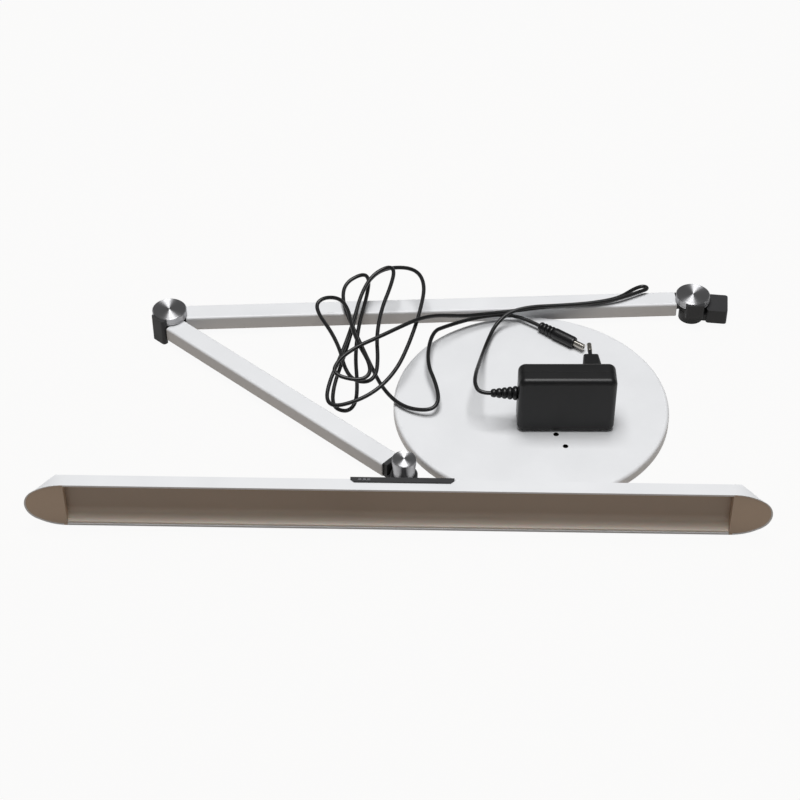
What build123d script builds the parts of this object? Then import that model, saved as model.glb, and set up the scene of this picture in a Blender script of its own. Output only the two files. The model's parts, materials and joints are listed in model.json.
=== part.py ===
from build123d import *
import math
import os

# LED desk lamp taken off its base and laid out on a table: millimetres, +Z up,
# origin on the table under the middle of the round base.

# Base plate and its pad
base_radius = 115.0
base_plate_thickness = 8.8
base_edge_radius = 3.0
pad_thickness = 1.2
pad_inset = 7.0
screw_line_radius = 51.5  # base centre to the middle of the two screw holes
screw_line_angle = -64.7
screw_spacing = 16.0
screw_hole_radius = 2.25
screw_head_radius = 4.3
screw_head_depth = 4.5

# Arm tubes and where their pivots lie
tube_width = 18.5
tube_height = 14.0
tube_wall = 1.5
tube_corner = 2.0
tube_bottom = 3.6
pivot_offset = 5.0  # tube centre line to pivot axis
elbow_x = -310.5
elbow_y = 106.0
lower_length = 458.9
lower_arm_gap = 0.726  # base rim to the side of the lower tube, which runs past it
lower_end_gap = 14.0  # pivot axis to the end of the lower tube
upper_length = 281.0
upper_arm_gap = 11.845  # base rim to the side of the upper tube
upper_elbow_gap = 10.6
upper_head_gap = 15.9
foot_angle = -7.0
head_angle = -1.2

# Hinges
bolt_radius = 3.0
bolt_head_radius = 6.0
bolt_head_height = 3.5
nut_radius = 6.0
nut_height = 3.0
friction_washer = 0.6
lower_eye_radius = 9.5
upper_eye_radius = 12.5
foot_eye_radius = 10.8
ring_thickness = 1.0
ring_radius = 13.6
cap_radius = 14.9
cap_height = 7.0
cap_edge = 0.8
lug_reach = 17.4
lug_drop = 0.4  # how far lugs stop below the top of the cap
elbow_lug_width = 15.0
elbow_lug_shift = 2.4
foot_lug_width = 16.0
lug_corner = 2.5
plug_length = 22.0
plug_clearance = 0.05
pivot_clearance = 0.05
neck_inset = 1.8
least_corner = 0.3  # smallest rounding inside a tube
lug_floor = 0.3
running_gap = 0.4
wire_radius = 1.5
wire_clearance = 0.05

# Foot bracket
block_gap = 0.5  # side of the lower arm's fitting to the block, turned square to it
block_end = 31.0
block_width = 23.6
block_height = 13.6
block_corner = 2.5
block_screw_radius = 1.65
block_screw_depth = 6.0
jack_radius = 4.0
jack_length = 9.0
jack_bore_radius = 2.85
jack_bore_depth = 8.0
jack_pin_radius = 1.0
jack_from_block = 6.0

# Head joint and mounting bracket
head_pivot_low = 6.0  # top of the arm's eye under the head
knob_radius = 9.9
knob_height = 17.2
knob_neck_radius = 8.6
knob_neck_height = 2.0
knob_rim_height = 4.0
head_eye_height = 3.9
head_eye_radius = 11.0
head_block_gap = 0.8
mount_arm_width = 15.0
mount_plate_left = -41.0
mount_plate_right = 40.0
mount_plate_thickness = 4.4
mount_plate_bottom = 4.0
mount_shoulder = 38.0  # the plate is thinner above this height
mount_lip_depth = 4.0
mount_lip_thickness = 1.2
mount_end_chamfer = 3.0
button_size = 2.6
button_spacing = 3.5
button_first = -33.6
button_setback = 1.75  # back face of the bar to the middle of the buttons
button_proud = 0.6
button_travel = 0.4
button_gap = 0.15
mount_screw_radius = 1.5
mount_screw_head = 2.8
mount_screw_head_height = 1.8
mount_screw_spacing = 56.0
mount_screw_height = 26.0

# Head bar
bar_height = 43.2
bar_depth = 12.0
bar_back = 40.9  # pivot axis to the back face of the bar
bar_shift = -4.2  # middle of the bar from the pivot axis
trough_half = 260.0
end_front = 32.0
end_back = 7.0
bar_wall = 1.6
diffuser_depth = 7.0
diffuser_thickness = 1.5
diffuser_groove = 0.8
cove_depth = 6.0
cove_height = 11.0
fit_gap = 0.1
end_plug = 8.0
led_width = 12.0
led_thickness = 1.2
led_end_gap = 2.0  # end plug to the end of the light strip
board_length = 44.0
board_width = 9.0
board_thickness = 1.4

# Power adaptor
adaptor_left = -13.5
adaptor_front = -37.0
adaptor_length = 79.6
adaptor_height = 55.0
adaptor_depth = 25.0
adaptor_wall = 2.2
adaptor_corner = 6.0
adaptor_edge = 4.5
relief_height = 32.0
relief_length = 22.0
relief_root_radius = 6.0
relief_tip_radius = 3.0
relief_bore_radius = 3.0
relief_ribs = 5
rib_groove = 0.78  # radius between two ribs, as a share of theirs
relief_wall = 0.5  # least rubber round the cord
insert_from_right = 18.0
insert_width = 18.0
insert_height = 35.0
insert_length = 22.0
insert_taper = 7.0  # degrees, narrower towards the pins
insert_low = 12.5
insert_corner = 4.67
spigot_inset = 4.2
spigot_end_inset = 4.4
pin_spacing = 18.6
pin_radius = 2.0
pin_core_radius = 1.3
sleeve_radius = 1.7
sleeve_length = 10.0
pin_length = 19.0
circuit_length = 66.0
circuit_height = 40.0
circuit_thickness = 1.6
circuit_post = 3.0
post_radius = 2.5
post_inset = 3.75  # circuit board edge to a post's middle
transformer_size = 20.0
transformer_depth = 10.0

# Cord and DC plug
cord_diameter = 3.4
lead_run = 9.0  # straight run of the cord where it meets a relief or the hank
bend_share = 0.45  # share of a run taken by the bend at its end
hank_height = 34.2
hank_slope_x = 0.22
hank_slope_y = 0.14
hank_layer = 3.7  # climb from one tip to the next
plug_angle = -38.9
plug_x = 12.0
plug_y = 95.0
plug_relief_length = 15.0
plug_handle_length = 22.0
plug_handle_radius = 5.0
plug_barrel_radius = 2.75
plug_barrel_length = 9.5
plug_barrel_bore = 1.05
plug_ribs = 4
plug_relief_start = 4.0
plug_relief_end = 4.6
plug_collar = 4.8
plug_shoulder = 2.0
plug_edge = 1.0
plug_rest_gap = 0.1

# Route of the cord from the adaptor's relief over the lower arm and back to the hank
adaptor_route = [
    (-48.5, -14.0, 43.0),
    (-47.0, 2.0, 40.5),
    (-44.0, 20.0, 34.0),
    (-41.0, 40.0, 25.0),
    (-37.5, 60.0, 17.5),
    (-33.0, 78.0, 14.5),
    (-26.0, 94.0, 16.0),
    (-14.0, 107.5, 21.5),
    (4.0, 115.5, 23.5),
    (24.0, 119.0, 22.0),
    (44.0, 120.0, 20.4),
    (62.0, 120.9, 20.0),
    (80.0, 122.6, 20.0),
    (96.0, 127.6, 20.2),
    (109.5, 134.5, 20.4),
    (105.3, 141.3, 20.6),
    (90.5, 133.5, 20.4),
    (74.0, 128.6, 20.2),
    (56.0, 127.0, 20.0),
    (36.0, 125.6, 20.4),
    (15.0, 122.6, 22.0),
    (-6.0, 118.4, 23.8),
    (-24.0, 112.6, 24.4),
    (-40.0, 105.6, 25.0),
    (-54.0, 97.2, 28.0),
    (-67.0, 88.0, 33.5),
    (-80.0, 78.6, 40.0),
    (-94.0, 68.0, 45.0),
    (-110.0, 55.0, 46.4),
    (-127.0, 43.0, 45.8),
    (-146.0, 32.0, 44.2),
    (-161.0, 19.0, 41.0),
    (-166.0, 4.0, 37.8),
]
# Route of the cord from the DC plug along the base's rim: direction from the middle of the base,
# inset from the rim and height
plug_route = [
    (94.5, 5.7, 15.2),
    (102.4, 2.8, 15.8),
    (110.8, 2.1, 16.6),
    (119.2, 2.2, 17.6),
    (127.5, 1.6, 19.0),
    (135.7, 0.4, 21.0),
]
# Tips of the hank's loops from above, even ones at the top and odd ones at the bottom,
# each with the bow of the run that follows it
hank_tips = [
    (-112.0, 128.0, 8.0),
    (-86.0, -18.0, 27.0),
    (-144.0, 149.0, 8.0),
    (-150.0, -12.0, 19.0),
    (-120.0, 143.0, 44.0),
    (-161.0, -12.0, 17.0),
    (-120.0, 136.0, 5.0),
    (-130.0, 2.0, 11.0),
    (-172.0, 104.0, 11.0),
    (-140.0, -2.0, 0.0),
]

# Heights shared by the hinges
tube_top = tube_bottom + tube_height
hinge_low = tube_bottom + tube_height / 2 - friction_washer / 2
hinge_high = hinge_low + friction_washer
head_pivot_high = head_pivot_low + friction_washer
cap_bottom = tube_top + ring_thickness
cap_top = cap_bottom + cap_height
base_top = pad_thickness + base_plate_thickness

# Frames of the pieces
elbow_point = Vector(elbow_x, elbow_y, 0)


def turned(angle):
    return Vector(math.cos(math.radians(angle)), math.sin(math.radians(angle)), 0)


def past_base(side, gap):
    """Direction of an arm from the elbow past the base's rim, on its left (1) or right (-1)."""
    to_middle = math.degrees(math.atan2(-elbow_y, -elbow_x))
    reach = base_radius + gap + tube_width / 2 - pivot_offset
    return to_middle + side * math.degrees(math.asin(reach / math.hypot(elbow_x, elbow_y)))


lower_angle = past_base(1, lower_arm_gap)
upper_angle = past_base(-1, upper_arm_gap)


def frame_at(point, angle):
    return Plane(origin=point, x_dir=turned(angle), z_dir=(0, 0, 1))


def along(frame, x, y=0.0, z=0.0):
    """Plane whose normal is the frame's X, with the frame's Y to the right and Z up."""
    return Plane(origin=frame.from_local_coords((x, y, z)), x_dir=frame.y_dir, z_dir=frame.x_dir)


def facing(frame, x, y, z):
    """Plane whose normal is the frame's Y, with the frame's X to the left and Z up."""
    return Plane(origin=frame.from_local_coords((x, y, z)), x_dir=-frame.x_dir, z_dir=frame.y_dir)


lower = frame_at(elbow_point, lower_angle)
foot_point = lower.from_local_coords((lower_length, 0, 0))
lower_foot = frame_at(foot_point, lower_angle)
foot = frame_at(foot_point, foot_angle)
upper = frame_at(elbow_point, upper_angle)
head_point = upper.from_local_coords((upper_length, -pivot_offset, 0))
upper_head = frame_at(head_point, upper_angle)
head = frame_at(head_point, head_angle)

os.makedirs("parts", exist_ok=True)


def keep(piece, name):
    piece.part.label = name
    export_step(piece.part, f"parts/{name}.step")


def disc(frame, low, high, radius, mode=Mode.ADD):
    """Adds a cylinder about the frame's own axis to the piece being built."""
    with BuildSketch(frame.offset(low)) as outline:
        Circle(radius)
    extrude(outline.sketch, amount=high - low, mode=mode)


def slab(frame, low, high, x0, x1, y0, y1, mode=Mode.ADD):
    """Adds a straight block, given by its limits in the frame."""
    with BuildSketch(frame.offset(low)) as outline:
        with Locations(((x0 + x1) / 2, (y0 + y1) / 2)):
            Rectangle(x1 - x0, y1 - y0)
    extrude(outline.sketch, amount=high - low, mode=mode)


# Base

with BuildPart() as base_plate:
    disc(Plane.XY, pad_thickness, base_top, base_radius)
    fillet(base_plate.edges().group_by(Axis.Z)[-1], base_edge_radius)
    with BuildSketch(Plane.XY.offset(base_top)):
        with PolarLocations(screw_line_radius, 1, start_angle=screw_line_angle):
            with GridLocations(screw_spacing, 1, 2, 1):
                Circle(screw_hole_radius)
    extrude(amount=-base_plate_thickness, mode=Mode.SUBTRACT)
    with BuildSketch(Plane.XY.offset(pad_thickness)):
        with PolarLocations(screw_line_radius, 1, start_angle=screw_line_angle):
            with GridLocations(screw_spacing, 1, 2, 1):
                Circle(screw_head_radius)
    extrude(amount=screw_head_depth, mode=Mode.SUBTRACT)
keep(base_plate, "base_plate")

with BuildPart() as base_pad:
    disc(Plane.XY, 0, pad_thickness, base_radius - pad_inset)
    with BuildSketch(Plane.XY):
        with PolarLocations(screw_line_radius, 1, start_angle=screw_line_angle):
            with GridLocations(screw_spacing, 1, 2, 1):
                Circle(screw_head_radius)
    extrude(amount=pad_thickness, mode=Mode.SUBTRACT)
keep(base_pad, "base_pad")


# Arm tubes, each with its centre line beside the elbow axis

def arm_tube(frame, start, end, side):
    with BuildPart() as tube:
        with BuildSketch(along(frame, start, side, tube_bottom + tube_height / 2)):
            RectangleRounded(tube_width, tube_height, tube_corner)
            RectangleRounded(
                tube_width - 2 * tube_wall,
                tube_height - 2 * tube_wall,
                max(tube_corner - tube_wall, least_corner),
                mode=Mode.SUBTRACT,
            )
        extrude(amount=end - start)
    return tube


lower_arm_tube = arm_tube(lower, lower_end_gap, lower_length - lower_end_gap, pivot_offset)
keep(lower_arm_tube, "lower_arm_tube")
upper_arm_tube = arm_tube(upper, upper_elbow_gap, upper_length - upper_head_gap, -pivot_offset)
keep(upper_arm_tube, "upper_arm_tube")


def fitting_plug(frame, start, length, side):
    """Adds the block that fills the tube's end, bored for the wire, from start along X."""
    low_x = min(start, start + length)
    slack = tube_wall + plug_clearance
    corner = max(tube_corner - tube_wall, least_corner)
    with BuildSketch(along(frame, low_x, side, tube_bottom + tube_height / 2)) as block:
        RectangleRounded(tube_width - 2 * slack, tube_height - 2 * slack, corner)
    extrude(block.sketch, amount=abs(length))
    with BuildSketch(along(frame, low_x, side, tube_bottom + tube_height / 2)) as bore:
        Circle(wire_radius + wire_clearance)
    extrude(bore.sketch, amount=abs(length), mode=Mode.SUBTRACT)


def pivot_hole(frame):
    disc(frame, 0, cap_top, bolt_radius + pivot_clearance, mode=Mode.SUBTRACT)


def nut_pocket(frame):
    disc(frame, 0, tube_bottom, nut_radius + running_gap, mode=Mode.SUBTRACT)


def cap_room(frame):
    disc(frame, tube_top, cap_top, cap_radius + running_gap, mode=Mode.SUBTRACT)


def lug(frame, low, inner, width, shift):
    """Adds the upright lug beside the cap, on the frame's negative Y side."""
    with BuildSketch(frame.offset(low)) as plan:
        with Locations((shift, -(lug_reach + inner) / 2)):
            Rectangle(width, lug_reach - inner)
        fillet(plan.vertices().group_by(Axis.Y)[0], lug_corner)
    extrude(plan.sketch, amount=cap_top - lug_drop - low)


tube_side = tube_width / 2 - neck_inset
lower_near = pivot_offset - tube_side
lower_far = pivot_offset + tube_side

with BuildPart() as lower_arm_elbow_fitting:
    disc(lower, 0, hinge_low, lower_eye_radius)
    slab(lower, tube_bottom, hinge_low, 0, lower_end_gap, lower_near, lower_far)
    fitting_plug(lower, lower_end_gap, plug_length, pivot_offset)
    pivot_hole(lower)
    nut_pocket(lower)
keep(lower_arm_elbow_fitting, "lower_arm_elbow_fitting")

with BuildPart() as lower_arm_foot_fitting:
    lug(lower_foot, hinge_high, 0, foot_lug_width, 0)
    cap_room(lower_foot)
    disc(lower_foot, hinge_high, tube_top, foot_eye_radius)
    slab(lower_foot, hinge_high, tube_top, -lower_end_gap, 0, lower_near, lower_far)
    fitting_plug(lower_foot, -lower_end_gap, -plug_length, pivot_offset)
    pivot_hole(lower_foot)
keep(lower_arm_foot_fitting, "lower_arm_foot_fitting")

with BuildPart() as upper_arm_elbow_fitting:
    lug(upper, lug_floor, upper_eye_radius + running_gap, elbow_lug_width, elbow_lug_shift)
    cap_room(upper)
    disc(upper, hinge_high, tube_top, upper_eye_radius)
    slab(
        upper,
        hinge_high,
        tube_top,
        elbow_lug_shift - elbow_lug_width / 2,
        elbow_lug_shift + elbow_lug_width / 2,
        -upper_eye_radius - 2 * running_gap,
        0,
    )
    slab(upper, hinge_high, tube_top, 0, upper_elbow_gap, -lower_far, -lower_near)
    slab(
        upper,
        0,
        cap_top,
        upper_elbow_gap,
        upper_elbow_gap + upper_eye_radius,
        -lug_reach,
        lug_reach,
        mode=Mode.SUBTRACT,
    )
    fitting_plug(upper, upper_elbow_gap, plug_length, -pivot_offset)
    pivot_hole(upper)
keep(upper_arm_elbow_fitting, "upper_arm_elbow_fitting")

with BuildPart() as upper_arm_head_fitting:
    disc(upper_head, 0, head_pivot_low, lower_eye_radius)
    slab(upper_head, tube_bottom, head_pivot_low, -upper_head_gap, 0, -tube_side, tube_side)
    block_face = -head_eye_radius - head_block_gap
    slab(upper_head, tube_bottom, tube_top, -upper_head_gap, block_face, -tube_side, tube_side)
    fitting_plug(upper_head, -upper_head_gap, -plug_length, 0)
    pivot_hole(upper_head)
    nut_pocket(upper_head)
keep(upper_arm_head_fitting, "upper_arm_head_fitting")


def arm_wire(frame, start, end, side):
    with BuildPart() as wire:
        with BuildSketch(along(frame, start, side, tube_bottom + tube_height / 2)):
            Circle(wire_radius)
        extrude(amount=end - start)
    return wire


lower_arm_wire = arm_wire(lower, lower_end_gap, lower_length - lower_end_gap, pivot_offset)
keep(lower_arm_wire, "lower_arm_wire")
upper_arm_wire = arm_wire(upper, upper_elbow_gap, upper_length - upper_head_gap, -pivot_offset)
keep(upper_arm_wire, "upper_arm_wire")


# Foot bracket, which stands on the base in use

block_start = lower_far + block_gap
block_low = tube_bottom + (tube_height - block_height) / 2
block_middle = block_low + block_height / 2
jack_x = block_start + jack_from_block

with BuildPart() as foot_bracket:
    with BuildSketch(foot.offset(block_low)):
        with Locations(((block_start + block_end) / 2, 0)):
            RectangleRounded(block_end - block_start, block_width, block_corner)
    extrude(amount=block_height)
    slab(
        foot,
        block_low,
        hinge_low,
        0,
        block_start + block_corner,
        block_corner - block_width / 2,
        block_width / 2 - block_corner,
    )
    disc(foot, 0, hinge_low, foot_eye_radius)
    pivot_hole(foot)
    nut_pocket(foot)
    with BuildSketch(along(foot, block_end, 0, block_middle)):
        with GridLocations(screw_spacing, 1, 2, 1):
            Circle(block_screw_radius)
    extrude(amount=-block_screw_depth, mode=Mode.SUBTRACT)
    with BuildSketch(facing(foot, jack_x, block_width / 2, block_middle)):
        Circle(jack_radius + plug_clearance)
    extrude(amount=-jack_length, mode=Mode.SUBTRACT)
keep(foot_bracket, "foot_bracket")

with BuildPart() as dc_jack:
    with BuildSketch(facing(foot, jack_x, block_width / 2, block_middle)):
        Circle(jack_radius)
    extrude(amount=-jack_length)
    with BuildSketch(facing(foot, jack_x, block_width / 2, block_middle)):
        Circle(jack_bore_radius)
        Circle(jack_pin_radius, mode=Mode.SUBTRACT)
    extrude(amount=-jack_bore_depth, mode=Mode.SUBTRACT)
keep(dc_jack, "dc_jack")


# Hinge hardware

def pivot_bolt(frame, head_low):
    with BuildPart() as bolt:
        disc(frame, tube_bottom - nut_height, head_low, bolt_radius)
        disc(frame, head_low, head_low + bolt_head_height, bolt_head_radius)
    return bolt


def pivot_nut(frame):
    with BuildPart() as nut:
        with BuildSketch(frame.offset(tube_bottom - nut_height)):
            RegularPolygon(nut_radius, 6)
            Circle(bolt_radius + pivot_clearance, mode=Mode.SUBTRACT)
        extrude(amount=nut_height)
    return nut


def ring(frame, low, high, radius):
    with BuildPart() as washer:
        with BuildSketch(frame.offset(low)):
            Circle(radius)
            Circle(bolt_radius + pivot_clearance, mode=Mode.SUBTRACT)
        extrude(amount=high - low)
    return washer


def turned_cap(frame):
    with BuildPart() as cap:
        disc(frame, cap_bottom, cap_top, cap_radius)
        chamfer(cap.edges().group_by(Axis.Z)[-1], cap_edge)
        disc(
            frame,
            cap_bottom,
            cap_bottom + bolt_head_height + fit_gap,
            bolt_head_radius + pivot_clearance,
            mode=Mode.SUBTRACT,
        )
    return cap


for joint_name, joint_frame in (("elbow", upper), ("foot", lower_foot)):
    keep(pivot_bolt(joint_frame, cap_bottom), f"{joint_name}_bolt")
    keep(pivot_nut(joint_frame), f"{joint_name}_nut")
    keep(ring(joint_frame, hinge_low, hinge_high, lower_eye_radius), f"{joint_name}_friction_washer")
    keep(ring(joint_frame, tube_top, cap_bottom, ring_radius), f"{joint_name}_cap_ring")
    keep(turned_cap(joint_frame), f"{joint_name}_cap")

knob_bottom = head_pivot_high + head_eye_height
knob_top = knob_bottom + knob_height
keep(pivot_bolt(head, knob_bottom), "head_bolt")
keep(pivot_nut(head), "head_nut")
keep(ring(head, head_pivot_low, head_pivot_high, lower_eye_radius), "head_friction_washer")

with BuildPart() as head_knob:
    with BuildSketch(Plane(origin=head.origin, x_dir=head.x_dir, z_dir=-head.y_dir)):
        with BuildLine():
            Polyline(
                (0, knob_bottom),
                (knob_neck_radius, knob_bottom),
                (knob_neck_radius, knob_bottom + knob_neck_height),
                (knob_radius, knob_top - knob_rim_height),
                (knob_radius, knob_top - cap_edge),
                (knob_radius - cap_edge, knob_top),
                (0, knob_top),
                close=True,
            )
        make_face()
    revolve(axis=Axis(head.origin, (0, 0, 1)))
    disc(
        head,
        knob_bottom,
        knob_bottom + bolt_head_height + fit_gap,
        bolt_head_radius + pivot_clearance,
        mode=Mode.SUBTRACT,
    )
keep(head_knob, "head_knob")


# Mounting bracket of the head

plate_back = -bar_back + mount_plate_thickness
neck_back = -bar_back + mount_lip_thickness
plate_top = bar_height + mount_lip_thickness
lip_front = -bar_back - mount_lip_depth
button_y = -bar_back - button_setback
button_low = bar_height + button_travel + button_gap
button_names = ("left_button", "middle_button", "right_button")
button_hole = button_size + 2 * button_gap
mount_middle = (mount_plate_left + mount_plate_right) / 2

with BuildPart() as head_mount:
    slab(
        head,
        mount_plate_bottom,
        mount_shoulder,
        mount_plate_left,
        mount_plate_right,
        -bar_back,
        plate_back,
    )
    slab(head, mount_shoulder, plate_top, mount_plate_left, mount_plate_right, -bar_back, neck_back)
    with BuildSketch(head.offset(bar_height)):
        with BuildLine():
            Polyline(
                (mount_plate_left, neck_back),
                (mount_plate_left, lip_front + mount_end_chamfer),
                (mount_plate_left + mount_end_chamfer, lip_front),
                (mount_plate_right - mount_end_chamfer, lip_front),
                (mount_plate_right, lip_front + mount_end_chamfer),
                (mount_plate_right, neck_back),
                close=True,
            )
        make_face()
        for index in range(len(button_names)):
            with Locations((button_first + index * button_spacing, button_y)):
                Rectangle(button_hole, button_hole, mode=Mode.SUBTRACT)
    extrude(amount=mount_lip_thickness)
    half_arm = mount_arm_width / 2
    slab(head, head_pivot_high, knob_bottom, -half_arm, half_arm, -bar_back, 0)
    disc(head, head_pivot_high, knob_bottom, head_eye_radius)
    pivot_hole(head)
    with BuildSketch(facing(head, mount_middle, plate_back, mount_screw_height)):
        with GridLocations(mount_screw_spacing, 1, 2, 1):
            Circle(mount_screw_radius + pivot_clearance)
    extrude(amount=-mount_plate_thickness, mode=Mode.SUBTRACT)
keep(head_mount, "head_mount")

for index, button_name in enumerate(button_names):
    with BuildPart() as button:
        with BuildSketch(head.offset(button_low)):
            with Locations((button_first + index * button_spacing, button_y)):
                Rectangle(button_size, button_size)
        extrude(amount=plate_top + button_proud - button_low)
    keep(button, button_name)

with BuildPart() as mount_screws:
    with BuildSketch(facing(head, mount_middle, plate_back, mount_screw_height)):
        with GridLocations(mount_screw_spacing, 1, 2, 1):
            Circle(mount_screw_head)
    extrude(amount=mount_screw_head_height)
    with BuildSketch(facing(head, mount_middle, plate_back, mount_screw_height)):
        with GridLocations(mount_screw_spacing, 1, 2, 1):
            Circle(mount_screw_radius)
    extrude(amount=-(mount_plate_thickness + bar_wall))
keep(mount_screws, "mount_screws")


# Head bar: an extruded channel, open to the front

bar_front = -bar_back - bar_depth
cavity_back = -bar_back - bar_wall
sheet_front = bar_front + diffuser_depth
sheet_back = sheet_front + diffuser_thickness
bar_start = bar_shift - trough_half
bar_end = bar_shift + trough_half

with BuildPart() as head_housing:
    with BuildSketch(along(head, bar_start)):
        with Locations((bar_front + bar_depth / 2, bar_height / 2)):
            Rectangle(bar_depth, bar_height)
        with Locations(((bar_front + cavity_back) / 2, bar_height / 2)):
            Rectangle(cavity_back - bar_front, bar_height - 2 * bar_wall, mode=Mode.SUBTRACT)
        with Locations(((sheet_front + sheet_back) / 2, bar_height - bar_wall)):
            Rectangle(diffuser_thickness + 2 * fit_gap, 2 * diffuser_groove, mode=Mode.SUBTRACT)
    extrude(amount=bar_end - bar_start)
    with BuildSketch(facing(head, mount_middle, -bar_back, mount_screw_height)):
        with GridLocations(mount_screw_spacing, 1, 2, 1):
            Circle(mount_screw_radius + pivot_clearance)
    extrude(amount=-bar_wall, mode=Mode.SUBTRACT)
keep(head_housing, "head_housing")

cove_y = sheet_front - cove_depth
cove_low = bar_wall + fit_gap
cove_floor = cove_low + diffuser_thickness
cove_z = cove_floor + cove_height
sheet_top = bar_height - bar_wall + diffuser_groove - fit_gap
diagonal = math.sqrt(0.5)

with BuildPart() as diffuser:
    with BuildSketch(along(head, bar_start + fit_gap)):
        with BuildLine():
            outer_depth = cove_depth + diffuser_thickness
            outer_height = cove_height + diffuser_thickness
            Polyline((cove_y, cove_low), (cove_y, cove_floor))
            ThreePointArc(
                (cove_y, cove_floor),
                (cove_y + cove_depth * diagonal, cove_z - cove_height * diagonal),
                (sheet_front, cove_z),
            )
            Polyline(
                (sheet_front, cove_z),
                (sheet_front, sheet_top),
                (sheet_back, sheet_top),
                (sheet_back, cove_z),
            )
            ThreePointArc(
                (sheet_back, cove_z),
                (cove_y + outer_depth * diagonal, cove_z - outer_height * diagonal),
                (cove_y, cove_low),
            )
        make_face()
    extrude(amount=bar_end - bar_start - 2 * fit_gap)
keep(diffuser, "diffuser")

with BuildPart() as led_strip:
    led_half = trough_half - end_plug - led_end_gap
    slab(
        head,
        bar_height / 2 - led_width / 2,
        bar_height / 2 + led_width / 2,
        bar_shift - led_half,
        bar_shift + led_half,
        cavity_back - led_thickness,
        cavity_back,
    )
keep(led_strip, "led_strip")

with BuildPart() as control_board:
    board_low = bar_height / 2 + led_width / 2 + fit_gap
    slab(
        head,
        board_low,
        board_low + board_width,
        mount_middle - board_length / 2,
        mount_middle + board_length / 2,
        cavity_back - board_thickness,
        cavity_back,
    )
keep(control_board, "control_board")


def end_cap(side):
    """Rounded in front, square at the back, with a tongue into the bar; side is 1 for right."""
    inner = -side * trough_half
    middle = bar_height / 2
    shoulder_x = inner - side * end_front * diagonal
    shoulder_z = middle * diagonal
    crown_x = inner - side * end_front * math.sin(math.pi / 8)
    crown_z = middle * math.cos(math.pi / 8)
    with BuildPart() as cap:
        with BuildSketch(facing(head, bar_shift, bar_front, 0)):
            with BuildLine():
                Line((inner, 0), (inner, bar_height))
                ThreePointArc(
                    (inner, bar_height),
                    (crown_x, middle + crown_z),
                    (shoulder_x, middle + shoulder_z),
                )
                ThreePointArc(
                    (shoulder_x, middle + shoulder_z),
                    (inner - side * end_front, middle),
                    (shoulder_x, middle - shoulder_z),
                )
                ThreePointArc((shoulder_x, middle - shoulder_z), (crown_x, middle - crown_z), (inner, 0))
            make_face()
        with BuildSketch(facing(head, bar_shift, -bar_back, 0)):
            with BuildLine():
                back_x = inner - side * end_back
                Polyline((inner, 0), (inner, bar_height), (back_x, bar_height), (back_x, 0), close=True)
            make_face()
        loft(ruled=True)
        tongue_low = cove_z + fit_gap
        tongue_ends = sorted((bar_shift + side * trough_half, bar_shift + side * (trough_half - end_plug)))
        slab(
            head,
            tongue_low,
            bar_height - bar_wall - fit_gap,
            tongue_ends[0],
            tongue_ends[1],
            sheet_back + fit_gap,
            cavity_back - fit_gap,
        )
    return cap


keep(end_cap(-1), "left_end_cap")
keep(end_cap(1), "right_end_cap")


# Power adaptor standing on the base

adaptor_right = adaptor_left + adaptor_length
adaptor_back = adaptor_front + adaptor_depth
seam_y = adaptor_front + adaptor_depth / 2
adaptor_middle = Vector(adaptor_left + adaptor_length / 2, seam_y, base_top + adaptor_height / 2)
relief_point = Vector(adaptor_left, seam_y, base_top + relief_height)
relief_tip = relief_point - Vector(relief_length, 0, 0)
insert_x = adaptor_right - insert_from_right
insert_z = base_top + insert_low + insert_height / 2
seam_plane = Plane(origin=adaptor_middle, x_dir=(-1, 0, 0), z_dir=(0, 1, 0))
insert_plane = Plane(origin=(insert_x, adaptor_back, insert_z), x_dir=(-1, 0, 0), z_dir=(0, 1, 0))
spigot_width = insert_width - 2 * spigot_inset
spigot_height = insert_height - 2 * spigot_end_inset


def adaptor_shell(side):
    """Half of the case: side is 1 for the back half and -1 for the front one."""
    with BuildPart() as shell:
        with BuildSketch(seam_plane):
            RectangleRounded(adaptor_length, adaptor_height, adaptor_corner)
        extrude(amount=side * adaptor_depth / 2)
        outer_face = shell.faces().sort_by(Axis.Y)[-1 if side > 0 else 0]
        fillet(outer_face.edges(), adaptor_edge)
        with BuildSketch(seam_plane):
            RectangleRounded(
                adaptor_length - 2 * adaptor_wall,
                adaptor_height - 2 * adaptor_wall,
                adaptor_corner - adaptor_wall,
            )
        extrude(amount=side * (adaptor_depth / 2 - adaptor_wall), mode=Mode.SUBTRACT)
        with BuildSketch(Plane(origin=relief_point, x_dir=(0, 1, 0), z_dir=(1, 0, 0))):
            Circle(relief_bore_radius)
        extrude(amount=adaptor_wall, mode=Mode.SUBTRACT)
        if side > 0:
            with BuildSketch(seam_plane.offset(adaptor_depth / 2 - adaptor_wall)):
                with GridLocations(circuit_length - 2 * post_inset, circuit_height - 2 * post_inset, 2, 2):
                    Circle(post_radius)
            extrude(amount=-circuit_post)
            with BuildSketch(insert_plane):
                Rectangle(spigot_width + 2 * fit_gap, spigot_height + 2 * fit_gap)
            extrude(amount=-adaptor_wall, mode=Mode.SUBTRACT)
    return shell


keep(adaptor_shell(-1), "adaptor_front_shell")
keep(adaptor_shell(1), "adaptor_back_shell")

with BuildPart() as plug_insert:
    with BuildSketch(insert_plane):
        RectangleRounded(insert_width, insert_height, insert_corner)
    extrude(amount=insert_length, taper=insert_taper)
    with BuildSketch(insert_plane):
        Rectangle(spigot_width, spigot_height)
    extrude(amount=-adaptor_wall)
    with BuildSketch(insert_plane.offset(insert_length)):
        with GridLocations(1, pin_spacing, 1, 2):
            Circle(sleeve_radius)
    extrude(amount=sleeve_length)
    with BuildSketch(insert_plane):
        with GridLocations(1, pin_spacing, 1, 2):
            Circle(pin_core_radius + plug_clearance)
    extrude(amount=insert_length + sleeve_length, mode=Mode.SUBTRACT)
keep(plug_insert, "plug_insert")

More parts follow.
